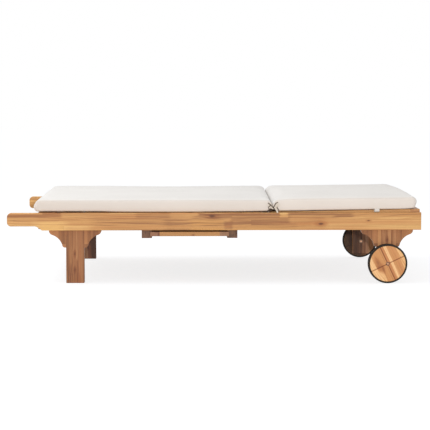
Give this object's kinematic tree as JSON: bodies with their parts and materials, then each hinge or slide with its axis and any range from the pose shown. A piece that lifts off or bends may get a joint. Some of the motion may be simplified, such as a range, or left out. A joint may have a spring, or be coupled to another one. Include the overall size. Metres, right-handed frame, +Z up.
{
  "type": "double chaise lounger",
  "caption": "Wide two-person wooden sunbed with cart wheels at the head end, carrying handles at the foot, a reclining slatted back, sliding side trays and a flat cushion.",
  "frame": {"origin": "on the ground under the middle of the bed", "axes": "+X runs along the bed to the head end with the wheels, +Y runs across it, +Z is up"},
  "size_m": [2.1, 1.3242, 0.4409],
  "materials": {
    "rail_wood": "oiled acacia staves, satin",
    "leg_wood": "oiled acacia, satin",
    "frame_wood": "oiled acacia, satin",
    "tray_wood": "oiled acacia, satin",
    "wheel_wood": "oiled acacia, satin",
    "tyre": "matt black rubber",
    "bush": "moulded nylon",
    "steel": "zinc plated",
    "cushion_fabric": "woven off-white cover"
  },
  "bodies": {
    "frame": {"side_rail_near": "rail_wood", "side_rail_far": "rail_wood", "foot_cross_rail": "frame_wood", "hinge_cross_rail": "frame_wood", "head_cross_rail": "frame_wood", "foot_leg_near": "leg_wood", "foot_leg_far": "leg_wood", "head_leg_near": "leg_wood", "head_leg_far": "leg_wood", "leg_brackets": "leg_wood", "seat_ledger_near": "frame_wood", "seat_ledger_far": "frame_wood", "seat_centre_bearer": "frame_wood", "seat_slat_1": "frame_wood", "seat_slat_2": "frame_wood", "seat_slat_3": "frame_wood", "seat_slat_4": "frame_wood", "seat_slat_5": "frame_wood", "seat_slat_6": "frame_wood", "seat_slat_7": "frame_wood", "seat_slat_8": "frame_wood", "seat_slat_9": "frame_wood", "seat_slat_screws": "steel", "frame_screws": "steel", "hinge_pins": "steel", "ratchet_rail_near": "frame_wood", "ratchet_rail_far": "frame_wood", "tray_runner_foot": "frame_wood", "tray_runner_head": "frame_wood", "axle_bolts": "steel", "axle_washers": "steel", "axle_nuts": "steel", "seat_cushion": "cushion_fabric", "cushion_fold": "cushion_fabric"},
    "backrest": {"back_stile_near": "frame_wood", "back_stile_far": "frame_wood", "back_hinge_bar": "frame_wood", "back_head_bar": "frame_wood", "back_centre_batten": "frame_wood", "back_slat_1": "frame_wood", "back_slat_2": "frame_wood", "back_slat_3": "frame_wood", "back_slat_4": "frame_wood", "back_slat_5": "frame_wood", "back_slat_screws": "steel", "prop_pivot_pins": "steel", "back_cushion": "cushion_fabric"},
    "prop": {"prop_arm_near": "frame_wood", "prop_arm_far": "frame_wood", "prop_foot_bar": "frame_wood"},
    "tray_near": {"tray_near_panel": "tray_wood", "tray_near_end_battens": "tray_wood"},
    "tray_far": {"tray_far_panel": "tray_wood", "tray_far_end_battens": "tray_wood"},
    "wheel_near": {"wheel_near_disc": "wheel_wood", "wheel_near_tyre": "tyre", "wheel_near_bush": "bush"},
    "wheel_far": {"wheel_far_disc": "wheel_wood", "wheel_far_tyre": "tyre", "wheel_far_bush": "bush"}
  },
  "joints": [
    {"name": "back_tilt", "type": "hinge", "parent": "frame", "child": "backrest", "pos_m": [0.285, 0, 0.326], "axis": [0, -1, 0], "range_deg": [0, 65], "deforming": ["cushion_fold"]},
    {"name": "prop_swing", "type": "hinge", "parent": "backrest", "child": "prop", "pos_m": [0.60495, 0, 0.33159], "axis": [0, 1, 0], "range_deg": [0, 130]},
    {"name": "tray_near_slide", "type": "slide", "parent": "frame", "child": "tray_near", "axis": [0, -1, 0], "range_m": [0, 0.3]},
    {"name": "tray_far_slide", "type": "slide", "parent": "frame", "child": "tray_far", "axis": [0, 1, 0], "range_m": [0, 0.3]},
    {"name": "wheel_near_spin", "type": "hinge", "parent": "frame", "child": "wheel_near", "pos_m": [0.8805, -0.6405, 0.1], "axis": [0, 1, 0], "continuous": true},
    {"name": "wheel_far_spin", "type": "hinge", "parent": "frame", "child": "wheel_far", "pos_m": [0.8805, 0.6405, 0.1], "axis": [0, 1, 0], "continuous": true}
  ],
  "couplings": [
    {"joint": "prop_swing", "follows": "back_tilt", "ratio": 2}
  ]
}
